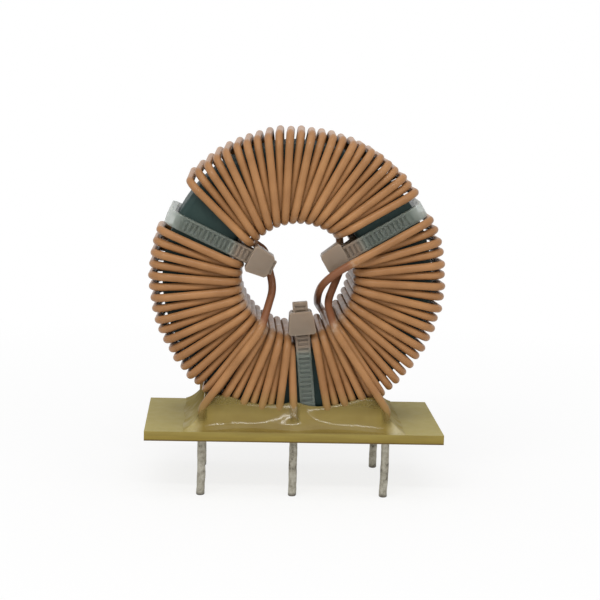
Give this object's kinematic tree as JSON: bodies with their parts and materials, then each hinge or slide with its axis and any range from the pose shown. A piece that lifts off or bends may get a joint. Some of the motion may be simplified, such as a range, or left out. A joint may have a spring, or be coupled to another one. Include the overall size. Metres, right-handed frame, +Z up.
{
  "type": "toroidal common mode choke",
  "caption": "Ferrite ring wound with separate enamelled copper coils, kept apart by cable ties and glued upright on a base board with tinned wire pins below; filters common mode noise.",
  "frame": {"origin": "middle of the base board's underside, the plane that seats on a circuit board; the pins reach below it", "axes": "+X along the rows of pins to the right, +Y along the ring's axis to the rear, +Z up"},
  "size_m": [0.05, 0.0242, 0.0616],
  "materials": {
    "core_coat": "dark green coating on ferrite",
    "enamelled_wire": "clear enamel on copper",
    "nylon": "natural nylon",
    "laminate": "bare glass-epoxy sheet",
    "epoxy": "cast amber epoxy",
    "tin": "dull solder tin"
  },
  "bodies": {
    "root": {"core": "core_coat", "top_lead_1": "enamelled_wire", "top_turns_1": "enamelled_wire", "top_turns_2": "enamelled_wire", "top_turns_3": "enamelled_wire", "top_lead_2": "enamelled_wire", "left_lead_1": "enamelled_wire", "left_turns_1": "enamelled_wire", "left_turns_2": "enamelled_wire", "left_turns_3": "enamelled_wire", "left_lead_2": "enamelled_wire", "right_lead_1": "enamelled_wire", "right_turns_1": "enamelled_wire", "right_turns_2": "enamelled_wire", "right_turns_3": "enamelled_wire", "right_lead_2": "enamelled_wire", "tie_left": "nylon", "tie_right": "nylon", "tie_bottom": "nylon", "base_board": "laminate", "glue_mound": "epoxy", "end_front_left": "tin", "end_front_middle": "tin", "end_front_right": "tin", "end_rear_left": "tin", "end_rear_middle": "tin", "end_rear_right": "tin"}
  },
  "joints": []
}
